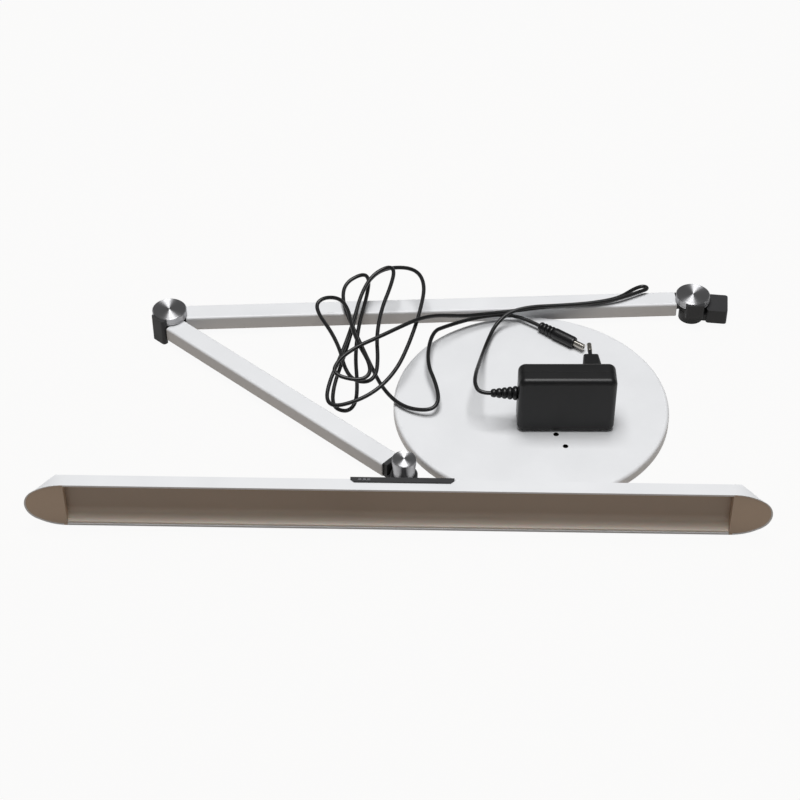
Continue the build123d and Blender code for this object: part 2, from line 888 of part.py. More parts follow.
with BuildPart() as plug_pins:
    with BuildSketch(insert_plane):
        with GridLocations(1, pin_spacing, 1, 2):
            Circle(pin_core_radius)
    extrude(amount=insert_length + sleeve_length)
    with BuildSketch(insert_plane.offset(insert_length + sleeve_length)):
        with GridLocations(1, pin_spacing, 1, 2):
            Circle(pin_radius)
    extrude(amount=pin_length - sleeve_length)
keep(plug_pins, "plug_pins")

circuit_back = adaptor_back - adaptor_wall - circuit_post

with BuildPart() as adaptor_board:
    with BuildSketch(seam_plane.offset(circuit_back - seam_y)):
        Rectangle(circuit_length, circuit_height)
    extrude(amount=-circuit_thickness)
keep(adaptor_board, "adaptor_board")

with BuildPart() as adaptor_transformer:
    with BuildSketch(seam_plane.offset(circuit_back - circuit_thickness - seam_y)):
        Rectangle(transformer_size, transformer_size)
    extrude(amount=-transformer_depth)
keep(adaptor_transformer, "adaptor_transformer")


def ribbed_profile(start, length, thick, thin, ribs):
    """Radius steps of a ribbed strain relief that tapers from thick to thin."""
    points = []
    pitch = length / (2 * ribs)
    for step in range(2 * ribs):
        taper = thick + (thin - thick) * step / (2 * ribs - 1)
        groove = rib_groove if step % 2 else 1.0
        radius = max(taper * groove, cord_diameter / 2 + relief_wall)
        points.append((start + step * pitch, radius))
        points.append((start + (step + 1) * pitch, radius))
    return points


with BuildPart() as adaptor_relief:
    with BuildSketch(Plane(origin=relief_point, x_dir=(-1, 0, 0), z_dir=(0, 1, 0))):
        ribs = ribbed_profile(0, relief_length, relief_root_radius, relief_tip_radius, relief_ribs)
        spigot = relief_bore_radius - pivot_clearance
        with BuildLine():
            Polyline(
                (-adaptor_wall, 0),
                (-adaptor_wall, spigot),
                (0, spigot),
                *ribs,
                (relief_length, 0),
                close=True,
            )
        make_face()
    revolve(axis=Axis(relief_point, (-1, 0, 0)))
keep(adaptor_relief, "adaptor_relief")


# DC plug lying on the base

plug_point = Vector(plug_x, plug_y, base_top + plug_handle_radius + plug_rest_gap)
plug_axis = turned(plug_angle)
plug_plane = Plane(origin=plug_point, x_dir=plug_axis, z_dir=plug_axis.cross(Vector(0, 0, 1)))
handle_end = plug_relief_length + plug_handle_length
barrel_seat = plug_barrel_length / 2

with BuildPart() as dc_plug_handle:
    with BuildSketch(plug_plane):
        ribs = ribbed_profile(0, plug_relief_length, plug_relief_start, plug_relief_end, plug_ribs)
        with BuildLine():
            Polyline(
                (0, 0),
                *ribs,
                (plug_relief_length, plug_collar),
                (plug_relief_length + plug_shoulder, plug_handle_radius),
                (handle_end - plug_edge, plug_handle_radius),
                (handle_end, plug_handle_radius - plug_edge),
                (handle_end, plug_barrel_radius + plug_clearance),
                (handle_end - barrel_seat, plug_barrel_radius + plug_clearance),
                (handle_end - barrel_seat, 0),
                close=True,
            )
        make_face()
    revolve(axis=Axis(plug_point, plug_axis))
keep(dc_plug_handle, "dc_plug_handle")

with BuildPart() as dc_plug_barrel:
    with BuildSketch(plug_plane):
        with BuildLine():
            Polyline(
                (handle_end - barrel_seat, plug_barrel_bore),
                (handle_end - barrel_seat, plug_barrel_radius),
                (handle_end + plug_barrel_length, plug_barrel_radius),
                (handle_end + plug_barrel_length, plug_barrel_bore),
                close=True,
            )
        make_face()
    revolve(axis=Axis(plug_point, plug_axis))
keep(dc_plug_barrel, "dc_plug_barrel")


# Cord: loose hank, clockwise from above, lying on the base and leaning on the lower arm

def hank_point(place):
    """Point of the hank; a whole place is a tip, and half way between tips is a waist."""
    run = min(int(place), len(hank_tips) - 2)
    half_turn = math.pi * (place - run)
    blend = (1 - math.cos(half_turn)) / 2
    start_x, start_y, bow = hank_tips[run]
    end_x, end_y, _ = hank_tips[run + 1]
    side = 1 if run % 2 == 0 else -1
    x = start_x + (end_x - start_x) * blend + side * bow * math.sin(half_turn)
    y = start_y + (end_y - start_y) * blend
    return Vector(x, y, hank_height + hank_slope_x * x + hank_slope_y * y + hank_layer * place)


def hank_heading(place):
    step = 0.001
    return (hank_point(place) - hank_point(place - step)).normalized()


def biarc(start, start_heading, end, end_heading):
    """Two tangent arcs from start to end."""
    chord = end - start
    both = start_heading + end_heading
    spread = 2 * (1 - start_heading.dot(end_heading))
    ahead = chord.dot(both)
    reach = (math.sqrt(ahead * ahead + spread * chord.dot(chord)) - ahead) / spread
    joint = (start + end + (start_heading - end_heading) * reach) * 0.5
    joint_heading = (end - end_heading * reach - start - start_heading * reach).normalized()
    TangentArc(start, joint, tangent=start_heading)
    TangentArc(joint, end, tangent=joint_heading)


def tube_along(path):
    with BuildPart() as tube:
        with BuildSketch(Plane(origin=path @ 0, z_dir=path % 0)):
            Circle(cord_diameter / 2)
        sweep(path=path)
    section = math.pi * cord_diameter**2 / 4
    ratio = tube.part.volume / section / path.length
    print("cord length", round(path.length, 1), "volume ratio", round(ratio, 4))
    return tube


quarter_places = [quarter / 2 for quarter in range(1, 2 * len(hank_tips) - 1)]
first_place = quarter_places[0]
last_place = quarter_places[-1]
hank_start = hank_point(first_place) - hank_heading(first_place) * cord_diameter
hank_end = hank_point(last_place) + hank_heading(last_place) * cord_diameter

with BuildLine() as hank_line:
    Line(hank_start, hank_point(first_place))
    for begin, finish in zip(quarter_places, quarter_places[1:]):
        biarc(hank_point(begin), hank_heading(begin), hank_point(finish), hank_heading(finish))
    Line(hank_point(last_place), hank_end)
hank_path = hank_line.wires()[0]


def least_gap(path, step):
    """Least clear space between a tube and itself, on points a step apart."""
    count = int(path.length / step)
    points = [tuple(path.position_at(i / count)) for i in range(count + 1)]
    apart = int(5 * cord_diameter / step)
    least = min(
        math.dist(points[i], points[j])
        for i in range(len(points))
        for j in range(i + apart, len(points))
    )
    return least - cord_diameter


print("hank least gap", round(least_gap(hank_path, 2.0), 2))
cord_hank = tube_along(hank_path)
keep(cord_hank, "cord_hank")


# Cord: free stretches

def cord_path(points):
    """Straight runs joined by arcs as large as the runs allow."""
    points = [Vector(point) for point in points]
    radii = []
    for before, corner, after in zip(points, points[1:], points[2:]):
        turn = math.radians((corner - before).get_angle(after - corner))
        shorter = min((corner - before).length, (after - corner).length)
        radii.append(bend_share * shorter / math.tan(turn / 2))
    print("radii", [round(radius, 1) for radius in radii])
    with BuildLine() as line:
        FilletPolyline(*points, radius=radii)
    return line.wires()[0]


adaptor_points = [relief_tip, relief_tip - Vector(lead_run, 0, 0), *adaptor_route]
adaptor_points += [hank_end + hank_heading(last_place) * lead_run, hank_end]
cord_lead_adaptor = tube_along(cord_path(adaptor_points))
keep(cord_lead_adaptor, "cord_lead_adaptor")

rim_route = [turned(angle) * (base_radius - inset) + Vector(0, 0, z) for angle, inset, z in plug_route]
plug_points = [plug_point, plug_point - plug_axis * lead_run, *rim_route]
plug_points += [hank_start - hank_heading(first_place) * lead_run, hank_start]
cord_lead_plug = tube_along(cord_path(plug_points))
keep(cord_lead_plug, "cord_lead_plug")
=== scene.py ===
import json
import math

import bmesh
import bpy
from mathutils import Matrix, Vector


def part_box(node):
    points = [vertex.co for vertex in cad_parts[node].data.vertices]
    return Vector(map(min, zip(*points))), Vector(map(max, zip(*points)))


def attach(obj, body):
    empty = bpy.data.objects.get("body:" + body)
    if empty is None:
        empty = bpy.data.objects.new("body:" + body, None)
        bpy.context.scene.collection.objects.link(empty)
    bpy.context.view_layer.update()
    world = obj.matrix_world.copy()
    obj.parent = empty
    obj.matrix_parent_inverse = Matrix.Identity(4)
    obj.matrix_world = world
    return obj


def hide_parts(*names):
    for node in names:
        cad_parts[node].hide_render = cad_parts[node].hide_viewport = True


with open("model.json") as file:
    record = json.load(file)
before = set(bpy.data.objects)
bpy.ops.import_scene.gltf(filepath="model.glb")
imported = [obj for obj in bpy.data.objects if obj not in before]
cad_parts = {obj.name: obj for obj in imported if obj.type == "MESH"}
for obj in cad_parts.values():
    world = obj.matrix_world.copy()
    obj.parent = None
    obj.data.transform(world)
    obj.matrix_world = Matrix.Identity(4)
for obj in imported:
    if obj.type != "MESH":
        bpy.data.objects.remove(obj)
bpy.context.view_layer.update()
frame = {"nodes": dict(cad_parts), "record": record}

mm = 0.001  # sizes in the settings are in mm, and shader values are Blender's own


# Camera at the photograph's angle

camera = {
    "place": (-109.6, -1253.2, 1116.9),
    "target": (-109.6, 14.6, 0.0),
    "lens": 90.0,
    "sensor": 36.0,
    "reach": 50000.0,
}

lens = bpy.data.cameras.new("photoCamera")
lens.sensor_width = camera["sensor"]
lens.lens = camera["lens"]
lens.clip_end = camera["reach"] * mm
photoCamera = bpy.data.objects.new("photoCamera", lens)
bpy.context.collection.objects.link(photoCamera)
eye = Vector(camera["place"]) * mm
aim = Vector(camera["target"]) * mm
facing = (aim - eye).to_track_quat("-Z", "Y").to_matrix().to_4x4()
photoCamera.matrix_world = Matrix.Translation(eye) @ facing
bpy.context.scene.camera = photoCamera
print("camera set")


# Materials

def linear(hexText):
    channels = [int(hexText[i:i + 2], 16) / 255 for i in (1, 3, 5)]
    return tuple(c / 12.92 if c <= 0.04045 else ((c + 0.055) / 1.055) ** 2.4 for c in channels) + (1.0,)


def addNode(tree, kind, values=None, links=None, **props):
    node = tree.nodes.new(kind)
    for key, value in props.items():
        setattr(node, key, value)
    for key, value in (values or {}).items():
        node.inputs[key].default_value = value
    for key, socket in (links or {}).items():
        tree.links.new(socket, node.inputs[key])
    return node


def startMaterial(name, shaderValues):
    material = bpy.data.materials.new(name)
    material.use_nodes = True
    tree = material.node_tree
    tree.nodes.clear()
    shader = addNode(tree, "ShaderNodeBsdfPrincipled", shaderValues)
    addNode(tree, "ShaderNodeOutputMaterial", links={"Surface": shader.outputs[0]})
    coords = addNode(tree, "ShaderNodeTexCoord")
    return material, tree, shader, coords.outputs["Object"]


def perMetre(millimetres):
    return 1000.0 / millimetres  # texture scale for a feature of that size


noiseDetail = {"grain": 3.0, "cloud": 4.0}


def noiseField(tree, place, look, part):
    values = {"Scale": perMetre(look[part]), "Detail": noiseDetail[part]}
    return addNode(tree, "ShaderNodeTexNoise", values, {"Vector": place}).outputs["Fac"]


def mixedShade(tree, field, dark, light):
    shade = addNode(
        tree, "ShaderNodeMix", {"A": linear(dark), "B": linear(light)}, {"Factor": field}, data_type="RGBA")
    return shade.outputs["Result"]


def varyRoughness(tree, shader, field, rough):
    gloss = addNode(tree, "ShaderNodeMapRange", {"To Min": rough[0], "To Max": rough[1]}, {"Value": field})
    tree.links.new(gloss.outputs["Result"], shader.inputs["Roughness"])


def raiseBump(tree, shader, field, look):
    bump = addNode(
        tree, "ShaderNodeBump", {"Strength": look["bump"], "Distance": look["depth"] * mm}, {"Height": field})
    tree.links.new(bump.outputs["Normal"], shader.inputs["Normal"])


def grainedPlastic(name, look):
    material, tree, shader, place = startMaterial(name, look["shader"])
    cloud = noiseField(tree, place, look, "cloud")
    tree.links.new(mixedShade(tree, cloud, look["dark"], look["light"]), shader.inputs["Base Color"])
    varyRoughness(tree, shader, cloud, look["rough"])
    raiseBump(tree, shader, noiseField(tree, place, look, "grain"), look)
    return material


looks = {
    "powderCoatWhite": {  # sprayed and baked polyester: satin, faint orange peel
        "shader": {"IOR": 1.5},
        "grain": 1.6, "cloud": 45.0, "dark": "#DFE0E2", "light": "#ECEDEF", "rough": (0.36, 0.48),
        "bump": 0.10, "depth": 0.10},
    "mouldedAbsWhite": {  # injection moulded ABS, close to the paint, finely matt
        "shader": {"IOR": 1.53},
        "grain": 0.9, "cloud": 30.0, "dark": "#DDDEDF", "light": "#EAEBEC", "rough": (0.40, 0.52),
        "bump": 0.12, "depth": 0.06},
    "mouldedAbsPaintedShade": {  # the end caps' sunken faces, coloured warm brown as painted shade and a painted reflection
        "shader": {"IOR": 1.53},
        "grain": 0.9, "cloud": 26.0, "dark": "#BFA892", "light": "#CBB49E", "rough": (0.40, 0.52),
        "bump": 0.12, "depth": 0.06},
    "glassFilledNylon": {  # moulded in a spark-eroded tool: dull, finely pitted charcoal
        "shader": {"IOR": 1.53, "Specular IOR Level": 0.25},
        "grain": 0.7, "cloud": 14.0, "dark": "#2C2C2D", "light": "#39393A", "rough": (0.44, 0.60),
        "bump": 0.30, "depth": 0.08},
    "mouldedAbsBlack": {  # injection moulded ABS case: fine even texture, satin
        "shader": {"IOR": 1.53, "Specular IOR Level": 0.34},
        "grain": 0.8, "cloud": 22.0, "dark": "#101011", "light": "#171718", "rough": (0.36, 0.46),
        "bump": 0.10, "depth": 0.05},
    "extrudedPvcBlack": {  # soft PVC sheath: smooth satin with a long highlight
        "shader": {"IOR": 1.52, "Specular IOR Level": 0.42},
        "grain": 0.9, "cloud": 16.0, "dark": "#0E0E0F", "light": "#181819", "rough": (0.30, 0.41),
        "bump": 0.06, "depth": 0.05},
    "foamRubber": {  # cut sheet under the base: open, dull black
        "shader": {"IOR": 1.5},
        "grain": 1.2, "cloud": 20.0, "dark": "#141414", "light": "#1F1F1F", "rough": (0.75, 0.9),
        "bump": 0.5, "depth": 0.2},
    "solderMask": {  # printed circuit board lacquer
        "shader": {"IOR": 1.5},
        "grain": 1.0, "cloud": 8.0, "dark": "#1B5A34", "light": "#227042", "rough": (0.25, 0.35),
        "bump": 0.1, "depth": 0.04},
    "polyesterTape": {  # wound insulation on the transformer
        "shader": {"IOR": 1.5},
        "grain": 1.0, "cloud": 6.0, "dark": "#B48F1E", "light": "#CBA52C", "rough": (0.3, 0.4),
        "bump": 0.15, "depth": 0.05},
    "mouldedPomGrey": {  # small moulded keys: dull grey
        "shader": {"IOR": 1.48},
        "grain": 0.6, "cloud": 5.0, "dark": "#56565A", "light": "#646468", "rough": (0.4, 0.5),
        "bump": 0.15, "depth": 0.04},
}
finish = {name: grainedPlastic(name, look) for name, look in looks.items()}


opalCover = {
    "shader": {"IOR": 1.58, "Roughness": 0.42, "Subsurface Weight": 0.15, "Subsurface Scale": 0.002},
    # the sheet colour is painted shade and a painted brown reflection; the cove colour is painted light
    "grain": 0.8, "cloud": 60.0, "sheet": ("#9E8975", "#A99480"), "cove": ("#EADACA", "#F2E4D6"),
    "coveTop": 16.0, "coveLow": 3.5, "bump": 0.05, "depth": 0.05,
}


def opalPolycarbonate(look):
    # extruded light cover, milky and finely matt; its face is coloured warm and dark as painted shade and a
    # painted reflection, and it turns pale towards the bottom as painted light on the cove
    material, tree, shader, place = startMaterial("opalPolycarbonate", look["shader"])
    cloud = noiseField(tree, place, look, "cloud")
    sheet = mixedShade(tree, cloud, *look["sheet"])
    cove = mixedShade(tree, cloud, *look["cove"])
    height = addNode(tree, "ShaderNodeSeparateXYZ", links={0: place})
    # height mask that puts the painted light low down on the cove
    lowness = addNode(
        tree, "ShaderNodeMapRange", {"From Min": look["coveTop"] * mm, "From Max": look["coveLow"] * mm},
        {"Value": height.outputs["Z"]}, interpolation_type="SMOOTHSTEP")
    shade = addNode(
        tree, "ShaderNodeMix", links={"Factor": lowness.outputs["Result"], "A": sheet, "B": cove},
        data_type="RGBA")
    tree.links.new(shade.outputs["Result"], shader.inputs["Base Color"])
    raiseBump(tree, shader, noiseField(tree, place, look, "grain"), look)
    return material


finish["opalPolycarbonate"] = opalPolycarbonate(opalCover)


metals = {
    "nickelPlate": {"colour": "#B4B0A8", "cloud": 3.0, "rough": (0.20, 0.32)},
    "zincPlate": {"colour": "#B4B4AE", "cloud": 2.0, "rough": (0.30, 0.45)},
    # dark colour for the screw hole walls: painted shade
    "paintedHoleShade": {"colour": "#3A3835", "cloud": 2.0, "rough": (0.40, 0.55)},
}


def dulledMetal(name, look):
    # plating and the hole metal dull in soft patches, so the shine wanders; the hole metal's dark colour is
    # painted shade
    shaderValues = {"Metallic": 1.0, "Base Color": linear(look["colour"])}
    material, tree, shader, place = startMaterial(name, shaderValues)
    varyRoughness(tree, shader, noiseField(tree, place, look, "cloud"), look["rough"])
    return material


for name, look in metals.items():
    finish[name] = dulledMetal(name, look)


turnedFace = {
    "colour": "#C0C0C2",
    "ringPitch": 0.55,  # real tool marks are about 0.1 mm, drawn coarser to show
    "bandPitch": 1.1,
    "bandDetail": 2.0,
    "bump": 0.12,
    "depth": 0.02,
    "rough": (0.34, 0.44),
    "stretch": 0.94,
    "stretchTurn": 0.25,  # of a full turn
}


def turnedAluminium(name, centre):
    # faced on a lathe: concentric marks that draw the light into a bow tie
    material, tree, shader, place = startMaterial(name, {
        "Metallic": 1.0, "Base Color": linear(turnedFace["colour"]),
        "Anisotropic": turnedFace["stretch"], "Anisotropic Rotation": turnedFace["stretchTurn"]})
    centred = addNode(
        tree, "ShaderNodeMapping", {"Location": (-centre[0], -centre[1], 0.0), "Scale": (1.0, 1.0, 0.0)},
        {"Vector": place})
    away = addNode(tree, "ShaderNodeVectorMath", links={0: centred.outputs[0]}, operation="LENGTH")
    rings = addNode(
        tree, "ShaderNodeMath", {1: 2 * math.pi * perMetre(turnedFace["ringPitch"])},
        {0: away.outputs["Value"]}, operation="MULTIPLY")
    wave = addNode(tree, "ShaderNodeMath", links={0: rings.outputs[0]}, operation="SINE")
    raiseBump(tree, shader, wave.outputs[0], turnedFace)
    bands = addNode(
        tree, "ShaderNodeTexNoise",
        {"Scale": perMetre(turnedFace["bandPitch"]), "Detail": turnedFace["bandDetail"]},
        {"W": away.outputs["Value"]}, noise_dimensions="1D")
    varyRoughness(tree, shader, bands.outputs["Fac"], turnedFace["rough"])
    around = addNode(tree, "ShaderNodeTangent", direction_type="RADIAL", axis="Z")
    tree.links.new(around.outputs[0], shader.inputs["Tangent"])
    return material


print("materials made")


# Cord: adaptor to arm, fold, back over the hank, the hank's loops, then the DC plug

cordLook = {
    "diameter": 3.4, "roundSteps": 5, "spanSteps": 10, "pointsPerRun": 7,
    "lastPlace": 0.5,  # the cord leaves the hank for the plug half way along its first run
    "length": 2.2,  # in metres
}
adaptorRoute = [
    (-35.5, -24.5, 42.0), (-44.5, -24.5, 42.0), (-48.5, -14.0, 43.0), (-47.0, 2.0, 40.5),
    (-44.0, 20.0, 34.0), (-41.0, 40.0, 25.0), (-37.5, 60.0, 17.5), (-33.0, 78.0, 14.8),
    (-27.0, 93.0, 17.6), (-15.0, 104.4, 23.0), (4.0, 110.2, 24.2), (24.0, 113.6, 22.6),
    (44.0, 116.4, 21.9), (62.0, 119.2, 21.8), (80.0, 123.4, 21.8), (93.0, 129.6, 21.8),
    (101.6, 134.4, 21.8), (108.6, 138.0, 21.6), (109.2, 142.6, 20.6), (105.0, 145.2, 19.7),
    (97.6, 141.2, 19.5), (92.0, 136.2, 19.5), (85.0, 130.2, 19.5), (74.0, 125.2, 19.5),
    (56.0, 121.0, 19.5), (36.0, 117.6, 19.6), (15.0, 114.6, 20.0), (-6.0, 110.6, 19.9),
    (-24.0, 106.4, 20.6), (-40.0, 101.2, 22.8), (-54.0, 94.8, 26.4), (-67.0, 87.2, 33.0),
    (-80.0, 78.6, 40.0), (-94.0, 68.0, 45.0), (-110.0, 55.0, 46.4), (-127.0, 43.0, 45.8),
    (-146.0, 32.0, 44.2), (-161.0, 19.0, 41.0), (-166.0, 4.0, 37.8),
]
plugRoute = [
    (-82.0, 80.0, 21.0), (-69.0, 90.0, 19.0), (-55.0, 98.5, 17.6), (-40.1, 105.5, 16.6),
    (-24.1, 109.6, 15.8), (-8.6, 109.0, 15.2),
]
hankTips = [  # each with the bow of the run that follows it
    (-112.0, 128.0, 8.0), (-86.0, -18.0, 28.0), (-143.0, 149.0, 1.0), (-154.0, -12.0, 16.0),
    (-120.0, 143.0, 44.0), (-161.0, -12.0, 13.0), (-120.0, 136.0, 0.0), (-137.0, 2.0, 8.0),
    (-174.0, 104.0, 11.0), (-144.0, -2.0, 0.0),
]
hank = {"flare": 4.75, "height": 34.2, "slopeX": 0.22, "slopeY": 0.14, "layer": 3.7}


def hankPoint(place):
    run = min(int(place), len(hankTips) - 2)
    halfTurn = math.pi * (place - run)
    blend = (1 - math.cos(halfTurn)) / 2
    startX, startY, bow = hankTips[run]
    endX, endY = hankTips[run + 1][:2]
    side = 1 if run % 2 == 0 else -1
    rounded = (bow + hank["flare"]) * math.sin(halfTurn) + hank["flare"] * math.sin(3 * halfTurn)
    x = startX + (endX - startX) * blend + side * rounded
    y = startY + (endY - startY) * blend
    return (x, y, hank["height"] + hank["slopeX"] * x + hank["slopeY"] * y + hank["layer"] * place)


dcPlug = {
    "start": (12.0, 95.0, 15.1), "turn": -38.9, "straight": 9.0,
    "relief": 15.0, "ribs": 4, "ribStart": 4.1, "ribEnd": 4.8, "ribDepth": 0.28,
    "collarRadius": 4.6, "collar": 0.3, "shoulder": 1.6, "shoulderDrop": 0.1, "shoulderEnd": 3.0,
    "handle": 22.0, "handleRadius": 5.0, "nose": 1.6, "noseDrop": 0.3, "noseTip": 0.5, "noseEdge": 1.0,
    "socket": 2.0, "socketGap": 0.1,
    "barrel": 9.5, "barrelRadius": 2.75, "barrelEdge": 0.3, "bore": 1.05, "boreEdge": 0.4,
    "handleSteps": 64, "barrelSteps": 48,
}
plugStart = Vector(dcPlug["start"])
plugTurn = math.radians(dcPlug["turn"])
plugAxis = Vector((math.cos(plugTurn), math.sin(plugTurn), 0.0))

firstPlace = len(hankTips) - 1
runSteps = cordLook["pointsPerRun"]
hankSteps = int((firstPlace - cordLook["lastPlace"]) * runSteps)
turnsBack = [hankPoint(firstPlace - i / runSteps) for i in range(hankSteps + 1)]
cordPoints = adaptorRoute + turnsBack + plugRoute
cordPoints += [tuple(plugStart - plugAxis * dcPlug["straight"]), tuple(plugStart)]

cordCurve = bpy.data.curves.new("powerCord", "CURVE")
cordCurve.dimensions = "3D"
cordCurve.bevel_depth = cordLook["diameter"] / 2 * mm
cordCurve.bevel_resolution = cordLook["roundSteps"]
cordCurve.resolution_u = cordLook["spanSteps"]
cordLine = cordCurve.splines.new("NURBS")
cordLine.points.add(len(cordPoints) - 1)
for point, place in zip(cordLine.points, cordPoints):
    point.co = (place[0] * mm, place[1] * mm, place[2] * mm, 1.0)
cordLine.order_u = 3
cordLine.use_endpoint_u = True
powerCord = bpy.data.objects.new("powerCord", cordCurve)
bpy.context.collection.objects.link(powerCord)
powerCord.data.materials.append(finish["extrudedPvcBlack"])
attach(powerCord, "base_and_lower_arm")
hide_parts("cord_lead_adaptor", "cord_hank", "cord_lead_plug")
print("cord laid")


# Ways of making a piece

nodeBody = {node: body for body, nodes in frame["record"]["behaviour"]["bodies"].items() for node in nodes}
making = {"smoothAngle": 35.0, "flatAngle": 0.5, "copyMerge": 0.002, "spunMerge": 0.001}


def camelName(node):
    words = node.split("_")
    return words[0] + "".join(word.capitalize() for word in words[1:])


def finishPiece(node, shape, finishes):
    name = camelName(node)
    mesh = bpy.data.meshes.new(name)
    shape.to_mesh(mesh)
    shape.free()
    for material in finishes:
        mesh.materials.append(material)
    mesh.shade_smooth()
    mesh.set_sharp_from_angle(angle=math.radians(making["smoothAngle"]))
    piece = bpy.data.objects.new(name, mesh)
    bpy.context.collection.objects.link(piece)
    # wide faces shade flat up to their soft edges
    flatFaces = piece.modifiers.new("flatFaces", "WEIGHTED_NORMAL")
    flatFaces.keep_sharp = True
    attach(piece, nodeBody[node])
    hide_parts(node)
    return piece


def softenEdges(shape, edge, segments, angle=38.0):
    steep = math.radians(angle)
    corners = [e for e in shape.edges if len(e.link_faces) == 2 and e.calc_face_angle(0.0) > steep]
    bmesh.ops.bevel(
        shape, geom=corners, offset=edge * mm, offset_type="OFFSET", segments=segments, profile=0.5,
        affect="EDGES", clamp_overlap=True, material=-1)


def softenedCopy(node, edge, segments):
    shape = bmesh.new()
    shape.from_mesh(frame["nodes"][node].data)
    bmesh.ops.remove_doubles(shape, verts=shape.verts, dist=making["copyMerge"] * mm)
    bmesh.ops.dissolve_limit(
        shape, angle_limit=math.radians(making["flatAngle"]), verts=shape.verts, edges=shape.edges,
        use_dissolve_boundaries=False)
    softenEdges(shape, edge, segments)
    return shape


def spunShape(profile, centre, axis, steps):
    # each profile point is a radius and a distance along the axis
    shape = bmesh.new()
    side = axis.orthogonal().normalized()
    corners = [shape.verts.new((centre + axis * far + side * radius) * mm) for radius, far in profile]
    edges = [shape.edges.new(pair) for pair in zip(corners, corners[1:])]
    bmesh.ops.spin(
        shape, geom=corners + edges, cent=centre * mm, axis=axis, angle=2 * math.pi, steps=steps,
        use_merge=True)
    bmesh.ops.remove_doubles(shape, verts=shape.verts, dist=making["spunMerge"] * mm)
    bmesh.ops.recalc_face_normals(shape, faces=shape.faces)
    return shape


def ribbedProfile(length, ribs, thickStart, thickEnd, depth, pointsPerRib=8, power=0.6):
    # round ribs with narrow grooves between them, narrower with a smaller power
    profile = []
    for step in range(ribs * pointsPerRib + 1):
        share = step / (ribs * pointsPerRib)
        swell = abs(math.sin(math.pi * ribs * share)) ** power
        thick = thickStart + (thickEnd - thickStart) * share
        profile.append((thick * (1 - depth + depth * swell), length * share))
    return profile


# Plain pieces: the solid's shape with its edges softened

softEdges = {  # node: edge radius, steps round it and finish
    "base_pad": (0.2, 2, "foamRubber"),
    "lower_arm_tube": (0.25, 2, "powderCoatWhite"),
    "upper_arm_tube": (0.25, 2, "powderCoatWhite"),
    "lower_arm_elbow_fitting": (0.8, 3, "glassFilledNylon"),
    "lower_arm_foot_fitting": (0.8, 3, "glassFilledNylon"),
    "upper_arm_elbow_fitting": (0.8, 3, "glassFilledNylon"),
    "upper_arm_head_fitting": (0.6, 3, "glassFilledNylon"),
    "foot_bracket": (0.9, 3, "glassFilledNylon"),
    "head_mount": (0.4, 2, "glassFilledNylon"),
    "elbow_cap_ring": (0.2, 2, "glassFilledNylon"),
    "foot_cap_ring": (0.2, 2, "glassFilledNylon"),
    "left_button": (0.35, 3, "mouldedPomGrey"),
    "middle_button": (0.35, 3, "mouldedPomGrey"),
    "right_button": (0.35, 3, "mouldedPomGrey"),
    "head_housing": (0.3, 3, "powderCoatWhite"),
    "diffuser": (0.06, 2, "opalPolycarbonate"),
    "adaptor_front_shell": (0.35, 2, "mouldedAbsBlack"),
    "adaptor_back_shell": (0.35, 2, "mouldedAbsBlack"),
    "plug_insert": (0.9, 3, "mouldedAbsBlack"),
    "plug_pins": (0.5, 3, "nickelPlate"),
    "dc_jack": (0.15, 2, "mouldedAbsBlack"),
    "mount_screws": (0.3, 3, "zincPlate"),
}
for node, (edge, segments, look) in softEdges.items():
    finishPiece(node, softenedCopy(node, edge, segments), [finish[look]])
print("plain pieces made")


# Base plate: painted outside, the walls of its two screw holes coloured dark as painted shade

basePlate = {
    "edge": 0.5, "segments": 2,
    "holeRadius": 2.25, "holeMargin": 0.1, "holeCircle": 51.5, "holeTurn": -64.7, "holePitch": 16.0,
}
shape = softenedCopy("base_plate", basePlate["edge"], basePlate["segments"])
holeTurn = math.radians(basePlate["holeTurn"])
outward = Vector((math.cos(holeTurn), math.sin(holeTurn), 0.0))
for face in shape.faces:
    middle = face.calc_center_median() / mm
    for away in (-basePlate["holePitch"] / 2, basePlate["holePitch"] / 2):
        toHole = middle - outward * (basePlate["holeCircle"] + away)
        if toHole.xy.length < basePlate["holeRadius"] + basePlate["holeMargin"]:
            # painted shade on the walls of the screw holes
            face.material_index = 1
finishPiece("base_plate", shape, [finish["powderCoatWhite"], finish["paintedHoleShade"]])
print("base plate made")


# Turned caps of the elbow and the foot, and the knob of the head joint

turnedCap = {
    "edge": 0.8, "rim": 1.3, "sink": 0.12, "sinkSlope": 0.2, "steps": 128,
    "groove": 0.25, "grooveUp": 1.2, "grooveWidth": 0.7, "grooveSlope": 0.2,
}
knob = {
    "edge": 0.8, "rim": 1.1, "sink": 0.12, "sinkSlope": 0.2, "steps": 112,
    "neckRadius": 8.6, "neckHeight": 2.0, "rimHeight": 4.0,
}
turnedEdge = {"edge": 0.12, "segments": 2, "angle": 25.0}


def turnedSize(node):
    low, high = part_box(node)
    middle = Vector(((low.x + high.x) / 2, (low.y + high.y) / 2, 0.0))
    return middle, (high.x - low.x) / 2 / mm, low.z / mm, high.z / mm


def sunkenTop(look, radius, top):
    flat = radius - look["edge"] - look["rim"]
    return [
        (radius, top - look["edge"]), (radius - look["edge"], top), (flat, top),
        (flat - look["sinkSlope"], top - look["sink"]), (0.0, top - look["sink"])]


def turnedPiece(node, profile, middle, steps):
    shape = spunShape(profile, middle / mm, Vector((0.0, 0.0, 1.0)), steps)
    softenEdges(shape, turnedEdge["edge"], turnedEdge["segments"], turnedEdge["angle"])
    finishPiece(node, shape, [turnedAluminium(camelName(node) + "Turned", middle)])


